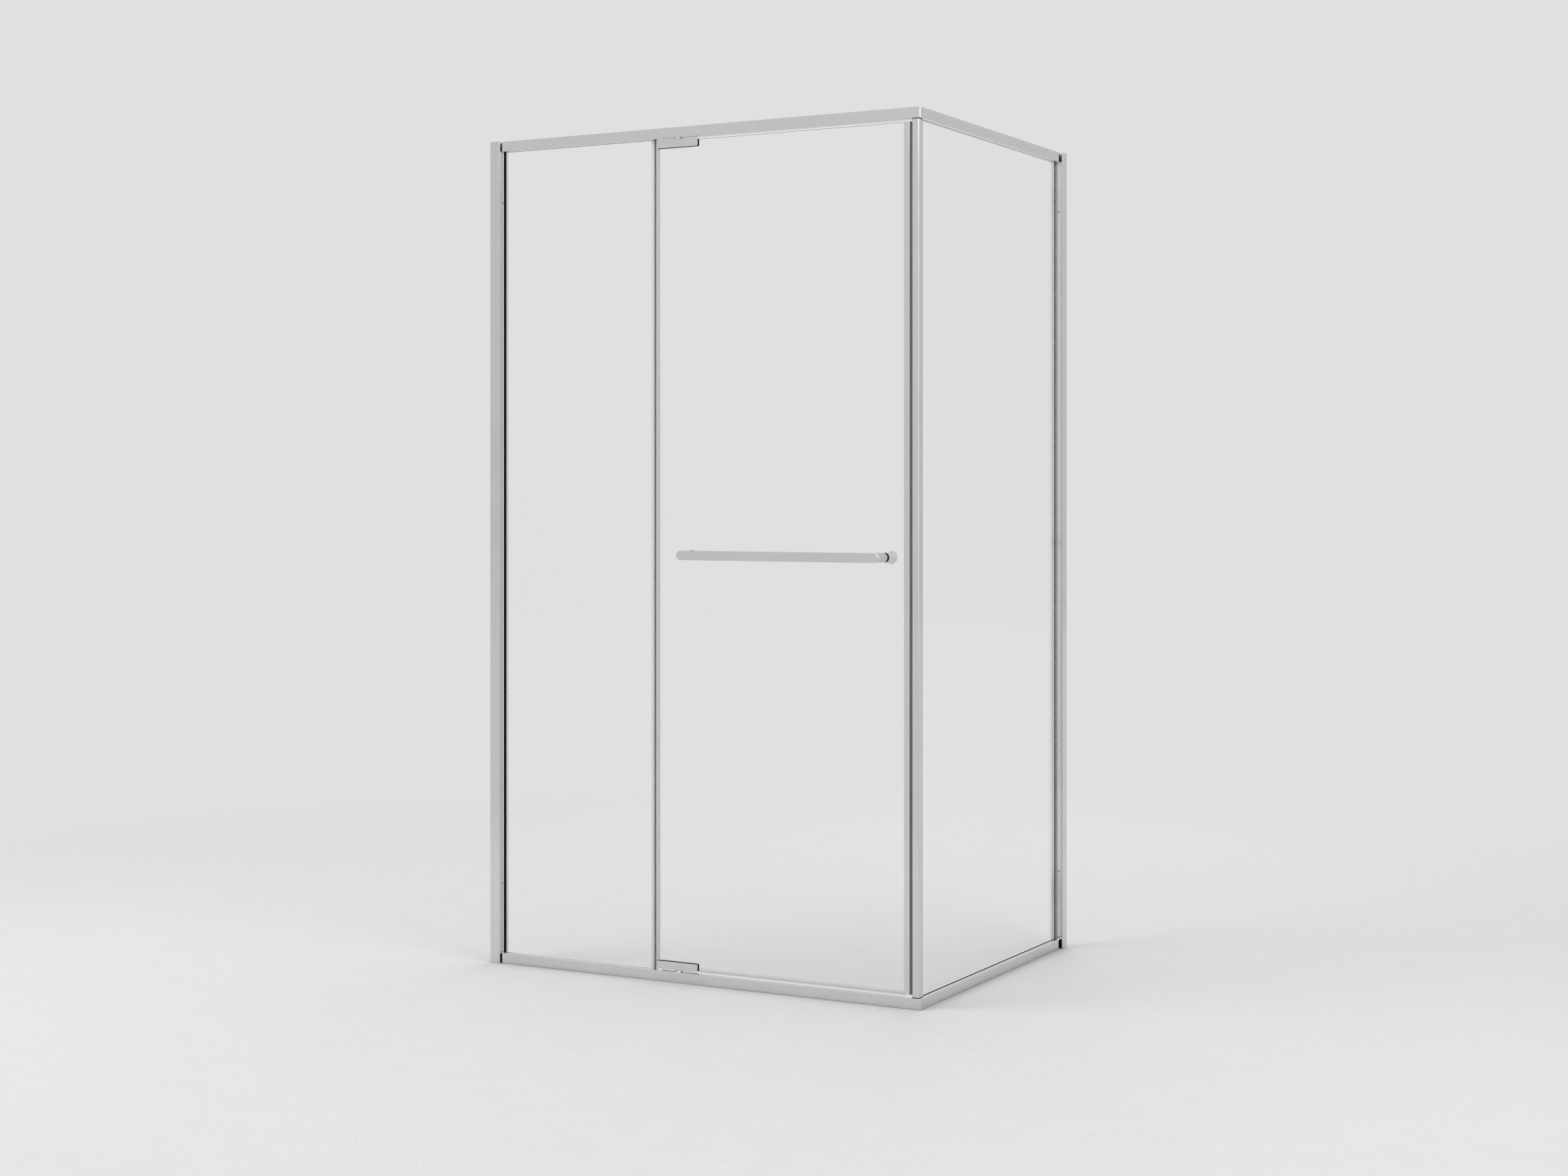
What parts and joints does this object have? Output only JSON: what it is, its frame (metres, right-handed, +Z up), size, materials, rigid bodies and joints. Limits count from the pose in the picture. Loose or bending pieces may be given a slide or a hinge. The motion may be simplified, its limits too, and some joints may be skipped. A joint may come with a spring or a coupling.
{
  "type": "shower enclosure",
  "caption": "Framed glass corner shower enclosure with a fixed front pane, an outward pivot door with a horizontal bar handle, and a fixed side pane on the right.",
  "frame": {"origin": "centre of the box of the whole enclosure, at the underside of the sill", "axes": "+Z up, +X right along the front seen from outside, +Y back to the wall; the door and its handle face -Y, the side pane stands at +X"},
  "size_m": [1.161, 0.889, 2],
  "materials": {
    "chrome": "bright polished",
    "clear_glass": "clear, faintly green at the edges",
    "black_rubber": "matt black",
    "milky_seal": "milky, translucent",
    "clear_seal": "clear, flexible",
    "magnet_strip": "dark grey, satin",
    "screw_steel": "dull",
    "cast_key": "as cast"
  },
  "bodies": {
    "frame": {"wall_channel_left": "chrome", "wall_channel_right": "chrome", "jamb_left": "chrome", "jamb_right": "chrome", "jamb_screws_left": "screw_steel", "jamb_screws_right": "screw_steel", "sill_rail_front": "chrome", "sill_rail_side": "chrome", "head_rail_front": "chrome", "head_rail_side": "chrome", "sill_corner_key": "cast_key", "head_corner_key": "cast_key", "rail_end_keys": "cast_key", "sill_infill_strip": "chrome", "head_infill_strip": "chrome", "corner_post": "chrome", "corner_post_pads": "black_rubber", "upright_screws": "screw_steel", "fixed_glass": "clear_glass", "side_glass": "clear_glass", "fixed_glass_jamb_gasket": "black_rubber", "fixed_glass_sill_gasket": "clear_seal", "fixed_glass_head_gasket": "clear_seal", "side_glass_jamb_gasket": "black_rubber", "side_glass_post_gasket": "black_rubber", "side_glass_sill_gasket": "black_rubber", "side_glass_head_gasket": "clear_seal", "fixed_glass_edge_seal": "milky_seal", "post_magnet_strip": "magnet_strip", "lower_pivot_bush": "chrome", "upper_pivot_bush": "chrome"},
    "door": {"door_glass": "clear_glass", "door_stile": "chrome", "door_stile_gasket": "black_rubber", "door_magnet_strip": "magnet_strip", "door_edge_seal": "clear_seal", "door_drip_seal": "clear_seal", "lower_hinge_outer_plate": "chrome", "upper_hinge_outer_plate": "chrome", "lower_hinge_inner_plate": "chrome", "upper_hinge_inner_plate": "chrome", "lower_hinge_gaskets": "black_rubber", "upper_hinge_gaskets": "black_rubber", "lower_hinge_screws": "screw_steel", "upper_hinge_screws": "screw_steel", "lower_pivot_pin": "screw_steel", "upper_pivot_pin": "screw_steel", "handle_bar": "chrome", "handle_standoffs": "chrome", "handle_bushes": "black_rubber", "handle_bolts": "screw_steel", "inner_knob": "chrome", "inner_cap": "chrome"}
  },
  "joints": [
    {"name": "door_pivot", "type": "hinge", "parent": "frame", "child": "door", "pos_m": [-0.0575, -0.3905, 1], "axis": [0, 0, -1], "range_deg": [0, 90]}
  ]
}
